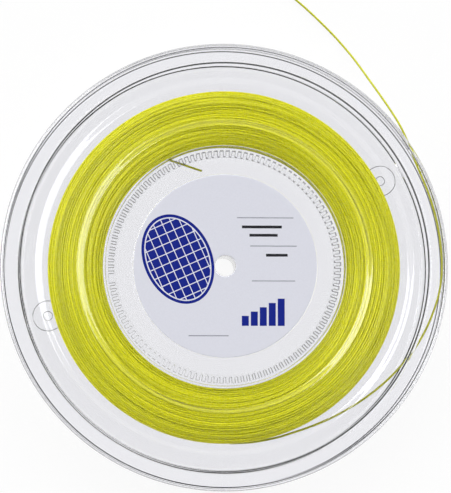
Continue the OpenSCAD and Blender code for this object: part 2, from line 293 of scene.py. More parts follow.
def smooth_route(points, steps):
    """Points of a smooth curve through a route, so many to each of its stretches."""
    made = []
    last = len(points) - 1
    for i in range(last):
        p0, p1, p2, p3 = (Vector(points[j]) for j in (max(i - 1, 0), i, i + 1, min(i + 2, last)))
        for k in range(steps):
            t = k / steps
            made.append(p1 + t * ((p2 - p0) / 2 + t * (p0 - 2.5 * p1 + 2 * p2 - p3 / 2
                                                       + t * (1.5 * (p1 - p2) + (p3 - p0) / 2))))
    return made + [Vector(points[last])]


def run_point(angle, share, beyond, z=SEAM_Z):
    """A point of the string's route through the casing."""
    r = RUN_RI + (RUN_RO - RUN_RI) * share + beyond
    return (r * math.cos(math.radians(angle)), r * math.sin(math.radians(angle)), z)


# ---------------------------------------------------------------- Meshes

def new_mesh(name, points, faces):
    """A mesh of points in millimetres, with its faces turned outwards."""
    mesh = bpy.data.meshes.new(name)
    mesh.from_pydata([tuple(c * MM for c in p) for p in points], [], faces)
    work = bmesh.new()
    work.from_mesh(mesh)
    bmesh.ops.recalc_face_normals(work, faces=work.faces)
    work.to_mesh(mesh)
    work.free()
    return mesh


def smoothed(mesh, sharp):
    """Shades a mesh smooth, but for the edges whose faces meet at more than an angle in degrees."""
    mesh.shade_smooth()
    mesh.set_sharp_from_angle(angle=math.radians(sharp))


def as_piece(context, name, points, faces, body, material, slot, node, sharp=SMOOTH_ANGLE):
    """Links a new piece made of points in millimetres, and has it ride on a body in place of a CAD node."""
    mesh = new_mesh(name, points, faces)
    smoothed(mesh, sharp)
    mesh.materials.append(material)
    piece = bpy.data.objects.new(name, mesh)
    context.scene.collection.objects.link(piece)
    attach(piece, body)
    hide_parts(node)
    return piece


def skin(size, loops, closed=True):
    """Faces between closed loops that follow each other, each of so many points. Where the row of loops is
    closed, the last one is joined to the first."""
    faces = []
    for i in range(loops if closed else loops - 1):
        a, b = i * size, (i + 1) % loops * size
        for k in range(size):
            n = (k + 1) % size
            faces.append((a + k, a + n, b + n, b + k))
    return faces


def turned(outline, angles, shift=None):
    """Points and faces of a closed outline of radius and height turned about the axis. shift gives how far a
    point moves inwards at a radius and an angle."""
    points = []
    for angle in angles:
        c, s = math.cos(math.radians(angle)), math.sin(math.radians(angle))
        for r, z in outline:
            reach = r - shift(r, angle) if shift else r
            points.append((reach * c, reach * s, z))
    return points, skin(len(outline), len(angles))


def strand(centres, diameter, sides, closed):
    """Points and faces of a round string along its centre points."""
    points = []
    count = len(centres)
    for i, centre in enumerate(centres):
        ahead = centres[(i + 1) % count if closed else min(i + 1, count - 1)]
        behind = centres[i - 1 if closed or i else 0]
        along = (Vector(ahead) - Vector(behind)).normalized()
        side = along.cross(Vector((0, 0, 1))).normalized()
        up = side.cross(along)
        for k in range(sides):
            a = math.tau * k / sides
            points.append(Vector(centre) + diameter / 2 * (math.cos(a) * side + math.sin(a) * up))
    faces = skin(sides, count, closed)
    if not closed:
        faces.append(tuple(range(sides))[::-1])
        faces.append(tuple((count - 1) * sides + k for k in range(sides)))
    return points, faces


def joined(parts):
    """Points and faces of several meshes as one."""
    points, faces = [], []
    for more_points, more_faces in parts:
        first = len(points)
        points += more_points
        faces += [tuple(i + first for i in face) for face in more_faces]
    return points, faces


def block(size, place):
    """Points and faces of a block of three sizes, moved by a matrix in millimetres."""
    signs = [(x, y, z) for z in (-0.5, 0.5) for x, y in ((-0.5, -0.5), (0.5, -0.5), (0.5, 0.5), (-0.5, 0.5))]
    points = [place @ Vector(s * n for s, n in zip(sign, size)) for sign in signs]
    faces = [(0, 3, 2, 1), (4, 5, 6, 7), (0, 1, 5, 4), (1, 2, 6, 5), (2, 3, 7, 6), (3, 0, 4, 7)]
    return points, faces


def cut(context, piece, points, faces):
    """Cuts a closed shape out of a piece."""
    cutter = bpy.data.objects.new("cutter", new_mesh("cutter", points, faces))
    context.scene.collection.objects.link(cutter)
    modifier = piece.modifiers.new("cut", "BOOLEAN")
    modifier.operation, modifier.solver, modifier.object = "DIFFERENCE", "EXACT", cutter
    shown = piece.evaluated_get(context.evaluated_depsgraph_get())
    made = bpy.data.meshes.new_from_object(shown)
    piece.modifiers.clear()
    if len(made.polygons) < len(piece.data.polygons) / 2:
        raise RuntimeError(f"the cut left too little of {piece.name}")
    made.name = piece.name
    piece.data = made
    smoothed(made, SMOOTH_ANGLE)
    bpy.data.objects.remove(cutter)


def placed(radius, angle, z, turn=0.0):
    """A matrix that puts something at a radius and angle about the axis, turned about its own height."""
    a = math.radians(angle)
    return (Matrix.Translation((radius * math.cos(a), radius * math.sin(a), z))
            @ Matrix.Rotation(a + math.radians(turn), 4, "Z"))


def entry_place(drum_r):
    """Where the string's first end goes through the drum, with +X along it."""
    return placed(drum_r - DRUM_T / 2, ENTRY_ANGLE, SEAM_Z, ENTRY_SLANT - 180)


def full_turn(steps):
    """So many angles round a full turn, in degrees."""
    return [360 * i / steps for i in range(steps)]


def apart(angle, other):
    """Degrees between two directions, the short way round."""
    return abs((angle - other + 180) % 360 - 180)


def rib_angles(count):
    """Angles of the guide's ribs, from the one nearest the exit."""
    return [RIB_END - i * RIB_STEP for i in range(count)]


# Half of a rib's width, its sloping flank and the free space round that, in degrees
RIB_HALF, RIB_FLANK, RIB_CLEAR = math.degrees(RIB_W / 2 / WALL_RI), 0.03, 0.15


def turn_with_ribs(steps, count):
    """Angles of a full turn with two more at each side of every rib."""
    extra = [rib + side * (RIB_HALF + more)
             for rib in rib_angles(count) for side in (-1, 1) for more in (0, RIB_FLANK)]
    kept = [a for a in full_turn(steps) if all(apart(a, e) > RIB_CLEAR for e in extra)]
    return sorted(kept + [e % 360 for e in extra])


def rib_shift(count):
    """How far the inside of the rim wall stands inwards, which makes the ribs."""
    ribs = rib_angles(count)

    def shift(r, angle):
        if abs(r - WALL_RI) > NEAR:
            return 0.0
        nearest = min((apart(angle, rib) for rib in ribs), default=RIB_STEP)
        return RIB_DEPTH if nearest < RIB_HALF + RIB_FLANK / 3 else 0.0
    return shift


def collar_outline(count):
    """Points of the toothed collar's inner outline, tooth by tooth, and the angle of each point."""
    half_w = TOOTH_W / 2
    foot = math.sqrt(ROOT_R ** 2 - half_w ** 2)
    shape = [(foot, -half_w)] + arc((TIP_R + half_w, 0.0), half_w, 270, 90) + [(foot, half_w)]
    half = math.atan2(half_w, foot)
    points, angles = [], []
    for k in range(count):
        if k == EMPTY_TOOTH:
            continue
        turn = math.tau * k / count
        c, s = math.cos(turn), math.sin(turn)
        points += [(x * c - y * s, x * s + y * c) for x, y in shape]
        angles += [turn + half * (2 * i / (len(shape) - 1) - 1) for i in range(len(shape))]
    return points, angles


def finish_faces(piece, material, chosen):
    """Gives some faces of a piece a finish of their own. They are chosen by the radius and height of their
    middle and by how far they point up or down."""
    piece.data.materials.append(material)
    finish = len(piece.data.materials) - 1
    for face in piece.data.polygons:
        x, y, z = face.center / MM
        if chosen(math.hypot(x, y), z, abs(face.normal.z)):
            face.material_index = finish


# ---------------------------------------------------------------- Materials

def add_node(tree, kind, inputs=None, **settings):
    """Adds a node with its settings. An input takes a value or the output of another node."""
    node = tree.nodes.new(kind)
    for name, value in settings.items():
        setattr(node, name, value)
    for name, value in (inputs or {}).items():
        if isinstance(value, bpy.types.NodeSocket):
            tree.links.new(value, node.inputs[name])
        else:
            node.inputs[name].default_value = value
    return node


def new_material(name):
    """An empty material and its node tree, or None for the tree if the material is there already."""
    if name in bpy.data.materials:
        return bpy.data.materials[name], None
    material = bpy.data.materials.new(name)
    material.use_nodes = True
    material.node_tree.nodes.clear()
    return material, material.node_tree


def melt_swells(tree):
    """A bump of swells a few micrometres high, left by melt flow. They make highlights waver."""
    place = add_node(tree, "ShaderNodeTexCoord").outputs["Object"]
    swell = add_node(tree, "ShaderNodeTexNoise", {"Vector": place, "Scale": 1 / (SWELL * MM), "Detail": 1.0})
    bump = add_node(tree, "ShaderNodeBump", {
        "Height": swell.outputs["Fac"], "Strength": 0.4, "Distance": 0.04 * MM})
    return bump.outputs["Normal"]


def clear_wall(name, tint, ior):
    """A water-clear moulded wall. It bends and mirrors what lies round it, so that its corners draw dark and
    light lines, and it lets a lamp's light through to what lies below."""
    material, tree = new_material(name)
    if tree is None:
        return material
    clear = add_node(tree, "ShaderNodeBsdfPrincipled", {
        "Base Color": tint, "Roughness": 0.03, "IOR": ior, "Transmission Weight": 1.0,
        "Normal": melt_swells(tree)})
    through = add_node(tree, "ShaderNodeBsdfTransparent", {"Color": LAMP_SHARE})
    path = add_node(tree, "ShaderNodeLightPath")
    wall = add_node(tree, "ShaderNodeMixShader", {
        "Fac": path.outputs["Is Shadow Ray"], 1: clear.outputs["BSDF"], 2: through.outputs["BSDF"]})
    add_node(tree, "ShaderNodeOutputMaterial", {"Surface": wall.outputs["Shader"]})
    return material


def clear_web(name, tint, mirror, edge, reach):
    """A thin clear web, through which things show unbent and a lamp's light passes. mirror says how much it
    mirrors straight on and how much more on end. edge is the colour of the painted shade that it shows on
    end, in place of the light that clear plastic bends away. reach says from which turn away from the eye to
    which that painted shade comes in, and how strongly."""
    material, tree = new_material(name)
    if tree is None:
        return material
    through = add_node(tree, "ShaderNodeBsdfTransparent", {"Color": tint})
    gloss = add_node(tree, "ShaderNodeBsdfGlossy", {
        "Color": WHITE, "Roughness": 0.05, "Normal": melt_swells(tree)})
    facing = add_node(tree, "ShaderNodeLayerWeight", {"Blend": 0.5})
    # Both faces of a thin wall mirror more as they turn away, by Schlick's rule
    rise = add_node(tree, "ShaderNodeMath", {0: facing.outputs["Facing"], 1: 5.0}, operation="POWER")
    gain = add_node(tree, "ShaderNodeMath", {0: rise.outputs["Value"], 1: mirror[1], 2: mirror[0]},
                    operation="MULTIPLY_ADD")
    film = add_node(tree, "ShaderNodeMixShader", {
        "Fac": gain.outputs["Value"], 1: through.outputs["BSDF"], 2: gloss.outputs["BSDF"]})
    # Painted shade: a lit grey surface that comes in as the face turns away from the eye, where clear
    # plastic bends light away
    body = add_node(tree, "ShaderNodeBsdfPrincipled", {"Base Color": edge, "Roughness": 0.3, "IOR": 1.33})
    share = add_node(tree, "ShaderNodeMapRange", {
        "Value": facing.outputs["Facing"], "From Min": reach[0], "From Max": reach[1], "To Min": 0.0,
        "To Max": reach[2]}, interpolation_type="SMOOTHSTEP")
    wall = add_node(tree, "ShaderNodeMixShader", {
        "Fac": share.outputs["Result"], 1: film.outputs["Shader"], 2: body.outputs["BSDF"]})
    path = add_node(tree, "ShaderNodeLightPath")
    shown = add_node(tree, "ShaderNodeMixShader", {
        "Fac": path.outputs["Is Shadow Ray"], 1: wall.outputs["Shader"], 2: through.outputs["BSDF"]})
    add_node(tree, "ShaderNodeOutputMaterial", {"Surface": shown.outputs["Shader"]})
    return material


def lip_shade_polystyrene(colours):
    """Crystal polystyrene at the lip's bevel, with a painted shade: a grey line in place of the light that
    the clear bevel bends away.
    """
    material, tree = new_material("crystal_polystyrene_painted_lip_shade")
    if tree is None:
        return material
    through = add_node(tree, "ShaderNodeBsdfTransparent", {"Color": tuple(colours.plastic)})
    # Painted shade: a dark grey surface that the eye meets on most of the bevel
    body = add_node(tree, "ShaderNodeBsdfPrincipled", {
        "Base Color": linear(LIP_PAINTED_SHADE), "Roughness": 0.4, "IOR": 1.2})
    # The painted shade covers most of the bevel, and a lamp's light passes it
    path = add_node(tree, "ShaderNodeLightPath")
    share = add_node(tree, "ShaderNodeMapRange", {
        "Value": path.outputs["Is Shadow Ray"], "From Min": 0.0, "From Max": 1.0, "To Min": 0.82,
        "To Max": 0.0})
    edge = add_node(tree, "ShaderNodeMixShader", {
        "Fac": share.outputs["Result"], 1: through.outputs["BSDF"], 2: body.outputs["BSDF"]})
    add_node(tree, "ShaderNodeOutputMaterial", {"Surface": edge.outputs["Shader"]})
    return material


def casing_polystyrene(colours):
    """Crystal polystyrene, injection moulded: clear and glossy, with a faint blue cast in thick walls."""
    return clear_wall("crystal_polystyrene_moulded", tuple(colours.plastic), ior=1.47)


def spool_polystyrene(colours):
    """Clear polystyrene, injection moulded: clear, and less mirror-like than the casing."""
    return clear_wall("clear_polystyrene_moulded", tuple(colours.spool), ior=1.38)


def drum_polystyrene(colours):
    """Clear polystyrene, moulded thin: the drum's wall, which shows the string that lies on it, and an olive
    painted shade on end, where the string behind it lies in shade.
    """
    return clear_web("clear_polystyrene_drum", tuple(colours.web), mirror=(0.0, 0.0),
                     edge=linear(DRUM_PAINTED_SHADE), reach=(0.92, 0.995, 0.5))


def flat_polystyrene(colours):
    """Clear polystyrene, moulded thin and polished: the front flange's flat faces, glossy at a low angle,
    with a pale painted shade on end.
    """
    return clear_web("clear_polystyrene_flat", tuple(colours.web), mirror=(0.015, 0.9),
                     edge=linear(FLAT_PAINTED_SHADE), reach=(0.97, 0.999, 0.3))


def toothed_polystyrene(colours):
    """Clear polystyrene with drawn tooth flanks, which show a dark grey painted shade on end, in place of
    the light that clear teeth bend away.
    """
    return clear_web("clear_polystyrene_toothed", tuple(colours.web), mirror=(0.015, 0.9),
                     edge=linear(TOOTH_PAINTED_SHADE), reach=(0.78, 0.92, 0.92))


def polyester_monofilament(colours, wound=True):
    """Polyester monofilament, extruded and coated: a bright yellow line with a soft gloss. Wound strands
    light each other, so a strand on its own takes a deeper colour, which is painted shade."""
    material, tree = new_material("polyester_monofilament_" + ("wound" if wound else "single"))
    if tree is None:
        return material
    light, variety = (colours.string, 0.7) if wound else (colours.string_shaded_single, 0.0)
    place = add_node(tree, "ShaderNodeTexCoord").outputs["Object"]
    # Each wound strand differs a little in shade from the next
    strand_shade = add_node(tree, "ShaderNodeNewGeometry").outputs["Random Per Island"]
    share = add_node(tree, "ShaderNodeMapRange", {
        "Value": strand_shade, "From Min": 0.0, "From Max": 1.0, "To Min": 0.0, "To Max": variety})
    shade = add_node(tree, "ShaderNodeMix", {
        "Factor": share.outputs["Result"], 6: tuple(light), 7: tuple(colours.string_deep)}, data_type="RGBA")
    # Rubbed patches are duller than the coating round them
    rub = add_node(tree, "ShaderNodeTexNoise", {"Vector": place, "Scale": 1 / (RUB * MM), "Detail": 2.0})
    rough = add_node(tree, "ShaderNodeMapRange", {
        "Value": rub.outputs["Fac"], "From Min": 0.3, "From Max": 0.7, "To Min": 0.22, "To Max": 0.36})
    string = add_node(tree, "ShaderNodeBsdfPrincipled", {
        "Base Color": shade.outputs[2], "Roughness": rough.outputs["Result"], "IOR": 1.47})
    add_node(tree, "ShaderNodeOutputMaterial", {"Surface": string.outputs["BSDF"]})
    return material


def stamp(tree, place, centre, size, turn=0.0, shape="box"):
    """A mask that is 1 inside a printed box or oval, with its middle and size in millimetres, and the place
    within it from -1 to 1."""
    local = add_node(tree, "ShaderNodeMapping", {
        "Vector": place, "Location": (centre[0] * MM, centre[1] * MM, 0.0),
        "Rotation": (0.0, 0.0, math.radians(turn)),
        "Scale": (size[0] / 2 * MM, size[1] / 2 * MM, 1.0)}, vector_type="TEXTURE").outputs["Vector"]
    flat = add_node(tree, "ShaderNodeVectorMath", {0: local, 1: (1.0, 1.0, 0.0)}, operation="MULTIPLY")
    if shape == "oval":
        reach = add_node(tree, "ShaderNodeVectorMath", {0: flat.outputs["Vector"]}, operation="LENGTH")
        reach = reach.outputs["Value"]
    else:
        sides = add_node(tree, "ShaderNodeVectorMath", {0: flat.outputs["Vector"]}, operation="ABSOLUTE")
        split = add_node(tree, "ShaderNodeSeparateXYZ", {"Vector": sides.outputs["Vector"]})
        reach = combined(tree, [split.outputs["X"], split.outputs["Y"]])
    inside = add_node(tree, "ShaderNodeMath", {0: reach, 1: 1.0}, operation="LESS_THAN")
    return inside.outputs["Value"], flat.outputs["Vector"]


def combined(tree, masks, operation="MAXIMUM"):
    """One mask from several."""
    made = masks[0]
    for mask in masks[1:]:
        made = add_node(tree, "ShaderNodeMath", {0: made, 1: mask}, operation=operation).outputs["Value"]
    return made


def lattice(tree, local, across, line):
    """A mask of crossed lines, so many across a printed shape, each with a share of its spacing as width."""
    split = add_node(tree, "ShaderNodeSeparateXYZ", {"Vector": local})
    lines = []
    for axis, count in zip("XY", across):
        spread = add_node(tree, "ShaderNodeMath", {0: split.outputs[axis], 1: count / 2, 2: 0.5},
                          operation="MULTIPLY_ADD")
        phase = add_node(tree, "ShaderNodeMath", {0: spread.outputs["Value"]}, operation="FRACT")
        lines.append(add_node(tree, "ShaderNodeMath", {0: phase.outputs["Value"], 1: 0.5, 2: line / 2},
                              operation="COMPARE").outputs["Value"])
    return combined(tree, lines)


def printed_label_paper(colours):
    """Coated label paper, offset printed: smooth and nearly matt, with flat ink."""
    material, tree = new_material("label_paper_printed")
    if tree is None:
        return material
    place = add_node(tree, "ShaderNodeTexCoord").outputs["Object"]
    # A generic print: a strung racket head in blue, rising bars, grey rules and three black strokes
    head_at, head_turn, bed_size, rim_sizes = (-28.5, 4), 24, (36, 51), ((41, 56), (37.5, 52.5))
    bed, within = stamp(tree, place, head_at, bed_size, head_turn, "oval")
    strings = lattice(tree, within, (7, 9), 0.1)
    gaps = add_node(tree, "ShaderNodeMath", {0: 1.0, 1: strings}, operation="SUBTRACT").outputs["Value"]
    rim, inner = [stamp(tree, place, head_at, size, head_turn, "oval")[0] for size in rim_sizes]
    band = add_node(tree, "ShaderNodeMath", {0: rim, 1: inner}, operation="SUBTRACT").outputs["Value"]
    bars = [stamp(tree, place, (12 + 5.4 * i, -33 + 1.3 * i), (4.2, 6 + 2.6 * i))[0] for i in range(5)]
    blue = combined(tree, [combined(tree, [bed, gaps], "MULTIPLY"), band] + bars)
    # Each rule and stroke has its middle and its length
    rules, rule_w = (((24, 29), 34), ((29, 12), 28), ((29, -9), 26), ((-10, -42), 24)), 0.5
    grey = combined(tree, [stamp(tree, place, middle, (length, rule_w))[0] for middle, length in rules])
    strokes, stroke_w = (((22, 23.5), 24), ((23, 18.5), 17), ((31, 6.5), 13)), 1.7
    black = combined(tree, [stamp(tree, place, middle, (length, stroke_w))[0] for middle, length in strokes])
    # Paper fibres clump every millimetre or so, which mottles the white faintly
    fibre = add_node(tree, "ShaderNodeTexNoise", {"Vector": place, "Scale": 1 / (CLUMP * MM), "Detail": 3.0})
    mottle = add_node(tree, "ShaderNodeMapRange", {
        "Value": fibre.outputs["Fac"], "From Min": 0.3, "From Max": 0.7, "To Min": 0.0, "To Max": 1.0})
    clumped = tuple(c * 0.965 for c in colours.paper[:3]) + (1.0,)
    colour = add_node(tree, "ShaderNodeMix", {
        "Factor": mottle.outputs["Result"], 6: tuple(colours.paper), 7: clumped},
        data_type="RGBA").outputs[2]
    for mask, ink in ((grey, colours.grey_ink), (blue, colours.ink), (black, colours.black_ink)):
        colour = add_node(tree, "ShaderNodeMix", {"Factor": mask, 6: colour, 7: tuple(ink)},
                          data_type="RGBA").outputs[2]
    rough = add_node(tree, "ShaderNodeMapRange", {
        "Value": blue, "From Min": 0.0, "From Max": 1.0, "To Min": 0.55, "To Max": 0.38})
    bump = add_node(tree, "ShaderNodeBump", {
        "Height": fibre.outputs["Fac"], "Strength": 0.15, "Distance": 0.03 * MM})
    sheet = add_node(tree, "ShaderNodeBsdfPrincipled", {
        "Base Color": colour, "Roughness": rough.outputs["Result"], "IOR": 1.27,
        "Normal": bump.outputs["Normal"]})
    add_node(tree, "ShaderNodeOutputMaterial", {"Surface": sheet.outputs["BSDF"]})
    return material


def pale_table(colours):
    """Table top with white paint, rolled: matt. The eye and mirrored rays meet it nearly white, with the
    reel's shadow, and bent rays meet it white."""
    material, tree = new_material("table_top_painted")
    if tree is None:
        return material
    place = add_node(tree, "ShaderNodeTexCoord").outputs["Object"]
    nap = add_node(tree, "ShaderNodeTexNoise", {"Vector": place, "Scale": 1 / (NAP * MM), "Detail": 2.0})
    rough = add_node(tree, "ShaderNodeMapRange", {
        "Value": nap.outputs["Fac"], "To Min": 0.75, "To Max": 0.9})
    paint = add_node(tree, "ShaderNodeBsdfPrincipled", {
        "Base Color": tuple(colours.floor), "Roughness": rough.outputs["Result"], "Specular IOR Level": 0.2})
    white = add_node(tree, "ShaderNodeEmission", {"Color": WHITE, "Strength": 1.0})
    path = add_node(tree, "ShaderNodeLightPath")
    rays = ("Is Camera Ray", "Is Glossy Ray", "Is Transmission Ray")
    seen = combined(tree, [path.outputs[ray] for ray in rays])
    nearly = add_node(tree, "ShaderNodeMath", {0: seen, 1: 0.92}, operation="MULTIPLY")
    share = combined(tree, [nearly.outputs["Value"], path.outputs["Is Transmission Ray"]])
    mix = add_node(tree, "ShaderNodeMixShader", {
        "Fac": share, 1: paint.outputs["BSDF"], 2: white.outputs["Emission"]})
    add_node(tree, "ShaderNodeOutputMaterial", {"Surface": mix.outputs["Shader"]})
    return material


# ---------------------------------------------------------------- Parts of the operators

def paint_lip_shade(piece, colours):
    """Gives the bevel of a shell's stacking lip its painted shade."""
    finish_faces(piece, lip_shade_polystyrene(colours), lambda r, z, slope: (
        abs(r - LIP_R) < LIP_BEVEL / 2 and SLOPING[0] < slope < SLOPING[1]))


def shell_half(context, name, outline, node):
    """Adds one half of the casing from its outline, with its ribs and the string's exit slot."""
    sizes, colours = context.scene.string_reel_sizes, context.scene.string_reel_colours
    ribs = sizes.rib_count
    points, faces = turned(guarded(eased(outline, CASING_EASE)), turn_with_ribs(CASING_STEPS, ribs),
                           rib_shift(ribs))
    piece = as_piece(context, name, points, faces, "casing", casing_polystyrene(colours), "clear_casing",
                     node)
    wall_r = (WALL_RI + sizes.casing_radius / MM) / 2
    cut(context, piece, *block(EXIT_SIZE, placed(wall_r, EXIT_ANGLE, SEAM_Z, 90 - EXIT_SLANT)))
    return piece


def add_drum_flange(context, flange_r, drum_r, colours):
    """Adds the spool's back flange with the drum, its sleeve and the hole for the string's first end."""
    floor_z, drum_top = SPOOL_Z + FLANGE_T, FRONT_FLANGE_Z - HAIR
    outline = [(SLEEVE_RI, SPOOL_Z), (flange_r, SPOOL_Z), (flange_r, floor_z), (drum_r, floor_z),
               (drum_r, drum_top), (drum_r - DRUM_T, drum_top), (drum_r - DRUM_T, floor_z),
               (SLEEVE_RO, floor_z), (SLEEVE_RO, SLEEVE_TOP), (SLEEVE_RI, SLEEVE_TOP)]
    points, faces = turned(guarded(eased(outline, SPOOL_EASE)), full_turn(SPOOL_STEPS))
    piece = as_piece(context, "drum_flange", points, faces, "spool", spool_polystyrene(colours),
                     "clear_spool", "spool_back_flange")
    cut(context, piece, *block((6 * DRUM_T, ENTRY_W, ENTRY_W), entry_place(drum_r)))
    # The drum's wall takes its olive painted shade on end, and the flange's rim the teeth's dark grey
    # painted shade
    finish_faces(piece, drum_polystyrene(colours), lambda r, z, slope: (
        slope < UPRIGHT and drum_r - DRUM_T - NEAR < r < drum_r + NEAR and z > floor_z + TOUCH))
    finish_faces(piece, toothed_polystyrene(colours), lambda r, z, slope: (
        slope < UPRIGHT and r > flange_r - NEAR))


def add_toothed_flange(context, flange_r, tooth_count, colours):
    """Adds the spool's front flange with the toothed collar that plugs into the drum."""
    toothed, angles = collar_outline(tooth_count)

    def ring(radius, z):
        return [(radius * math.cos(a), radius * math.sin(a), z) for a in angles]

    low, base, high = FRONT_FLANGE_Z - COLLAR_H, FRONT_FLANGE_Z, FRONT_FLANGE_Z + FLANGE_T
    ease = COLLAR_EASE
    # From the teeth's underside round the collar's outside, the flange's rim and its eye, back to the teeth
    loops = [[(x, y, low) for x, y in toothed], ring(COLLAR_RO - ease, low), ring(COLLAR_RO, low + ease),
             ring(COLLAR_RO, base), ring(flange_r - ease, base), ring(flange_r, base + ease),
             ring(flange_r, high - ease), ring(flange_r - ease, high), ring(EYE_R + ease, high),
             ring(EYE_R, high - ease), ring(EYE_R, base + ease), ring(EYE_R + ease, base),
             [(x, y, base) for x, y in toothed]]
    points = [p for loop in loops for p in loop]
    piece = as_piece(context, "toothed_flange", points, skin(len(toothed), len(loops)), "spool",
                     toothed_polystyrene(colours), "clear_spool", "spool_front_flange", sharp=30)
    # The collar's outside takes the drum's olive painted shade on end, and the flat faces a pale painted
    # shade
    finish_faces(piece, drum_polystyrene(colours), lambda r, z, slope: (
        r > COLLAR_RO - NEAR and z < base - TOUCH))
    finish_faces(piece, flat_polystyrene(colours), lambda r, z, slope: slope > FLAT)


def add_soft_box(context, name, place, size, radiance):
    """Adds a soft box that faces the reel. It is only seen mirrored, as daylight is what lights the reel."""
    lamp = bpy.data.lights.new(name, "AREA")
    lamp.shape, lamp.size, lamp.size_y = "RECTANGLE", size[0], size[1]
    lamp.energy = radiance * math.pi * size[0] * size[1]
    holder = bpy.data.objects.new(name, lamp)
    holder.location = place
    holder.rotation_euler = (-Vector(place)).to_track_quat("-Z", "Y").to_euler()
    context.scene.collection.objects.link(holder)
    holder.visible_diffuse = False


def studio_sky():
    """A world with daylight for matt surfaces, and a dim room for what the plastic mirrors and bends."""
    world = bpy.data.worlds.new("studio")
    world.use_nodes = True
    tree = world.node_tree
    tree.nodes.clear()
    direction = add_node(tree, "ShaderNodeTexCoord").outputs["Generated"]
    up = add_node(tree, "ShaderNodeSeparateXYZ", {"Vector": direction}).outputs["Z"]
    # The daylight comes from beyond the reel and leaves the viewer's side dim
    toward = add_node(tree, "ShaderNodeVectorMath", {0: direction, 1: DAYLIGHT_FROM},
                      operation="DOT_PRODUCT")
    wall = add_node(tree, "ShaderNodeMapRange", {
        "Value": toward.outputs["Value"], "From Min": -0.25, "From Max": 0.9, "To Min": 0.02, "To Max": 6.5})
    # It is strongest near the horizon, so that it rakes the winding
    fade = add_node(tree, "ShaderNodeMapRange", {
        "Value": up, "From Min": 0.15, "From Max": 0.8, "To Min": 1.0, "To Max": 0.25},
        interpolation_type="SMOOTHSTEP")
    daylight = add_node(tree, "ShaderNodeMath", {0: wall.outputs["Result"], 1: fade.outputs["Result"]},
                        operation="MULTIPLY")
    # The plastic shows the room beyond the boxes, which is dark near the table
    room = add_node(tree, "ShaderNodeMapRange", {
        "Value": up, "From Min": 0.05, "From Max": 0.6, "To Min": 0.02, "To Max": 0.62},
        interpolation_type="SMOOTHSTEP")
    # A matt surface below the plastic has its daylight already, so the room adds nothing to it
    path = add_node(tree, "ShaderNodeLightPath")
    direct = add_node(tree, "ShaderNodeMath", {0: path.outputs["Diffuse Depth"], 1: 0.5},
                      operation="LESS_THAN")
    shown = add_node(tree, "ShaderNodeMath", {0: room.outputs["Result"], 1: direct.outputs["Value"]},
                     operation="MULTIPLY")
    seen = combined(tree, [path.outputs[ray] for ray in ("Is Glossy Ray", "Is Transmission Ray")])
    level = add_node(tree, "ShaderNodeMix", {
        "Factor": seen, 2: daylight.outputs["Value"], 3: shown.outputs["Value"]}, data_type="FLOAT")
    # A dark opening straight above keeps the flat faces clear
    hole = add_node(tree, "ShaderNodeMapRange", {
        "Value": up, "From Min": 0.92, "From Max": 0.975, "To Min": 1.0, "To Max": 0.1},
        interpolation_type="SMOOTHSTEP")
    strength = add_node(tree, "ShaderNodeMath", {0: level.outputs[0], 1: hole.outputs["Result"]},
                        operation="MULTIPLY")
    sky = add_node(tree, "ShaderNodeBackground", {"Color": WHITE, "Strength": strength.outputs["Value"]})
    add_node(tree, "ShaderNodeOutputWorld", {"Surface": sky.outputs["Background"]})
    return world


# ---------------------------------------------------------------- Operators

class STRINGREEL_OT_camera(bpy.types.Operator):
    """Add the camera that looks down on the reel from a little to the lower left"""

    bl_idname = "string_reel.camera"
    bl_label = "Camera"

    def execute(self, context):
        data = bpy.data.cameras.new("camera")
        data.lens, data.sensor_width = 225.0, 36.0
        data.clip_start, data.clip_end = 0.05, 50.0
        camera = bpy.data.objects.new("camera", data)
        right = Vector((0.99865, 0.0, 0.05191))
        up = Vector((-0.00373, 0.99742, 0.0717))
        ahead = Vector((0.05178, 0.0718, -0.99607))
        turn = Matrix((right, up, -ahead)).transposed().to_4x4()
        camera.matrix_world = Matrix.Translation(CAMERA_AT) @ turn
        context.scene.collection.objects.link(camera)
        context.scene.camera = camera
        return {"FINISHED"}


class STRINGREEL_OT_string_ends(bpy.types.Operator):
    """Add the string's free end, its run through the casing and its first end inside the drum"""

    bl_idname = "string_reel.string_ends"
    bl_label = "String ends"

    def execute(self, context):
        sizes, colours = context.scene.string_reel_sizes, context.scene.string_reel_colours
        # Strands on their own take the string's painted shaded colour
        material = polyester_monofilament(colours, wound=False)
        d = sizes.string_diameter / MM
        start = Vector(run_point(*RUN_ROUTE[-1]))
        drop = LIE_Z - SEAM_Z
        route = [start + Vector((x, y, drop * share)) for x, y, share in TAIL_ROUTE]
        tail = smooth_route(route, ROUTE_STEPS)
        piece = as_piece(context, "free_end", *strand(tail, d, STRING_SIDES, False), "casing", material,
                         "yellow_string", "string_tail")
        # The run starts among the winding's outer turns, so that it has no end of its own there
        route = [run_point(-88, -0.05, 0, SEAM_Z - 0.4), run_point(-81, -0.025, 0, SEAM_Z - 0.1)]
        run = smooth_route(route + [run_point(*row) for row in RUN_ROUTE], ROUTE_STEPS)
        as_piece(context, "outgoing_run", *strand(run, d, STRING_SIDES, False), "casing", material,
                 "yellow_string", "string_run")
        entry = entry_place(sizes.drum_radius / MM)
        start_x, way = -DRUM_T / 2 - FIRST_END_OUT, INNER_END_LEN + FIRST_END_OUT
        first_end = [entry @ Vector((start_x + way * i / FIRST_END_STEPS, 0.0, 0.0))
                     for i in range(FIRST_END_STEPS + 1)]
        as_piece(context, "locked_end", *strand(first_end, d, STRING_SIDES, False), "spool", material,
                 "yellow_string", "string_inner_end")
        return {"FINISHED"}


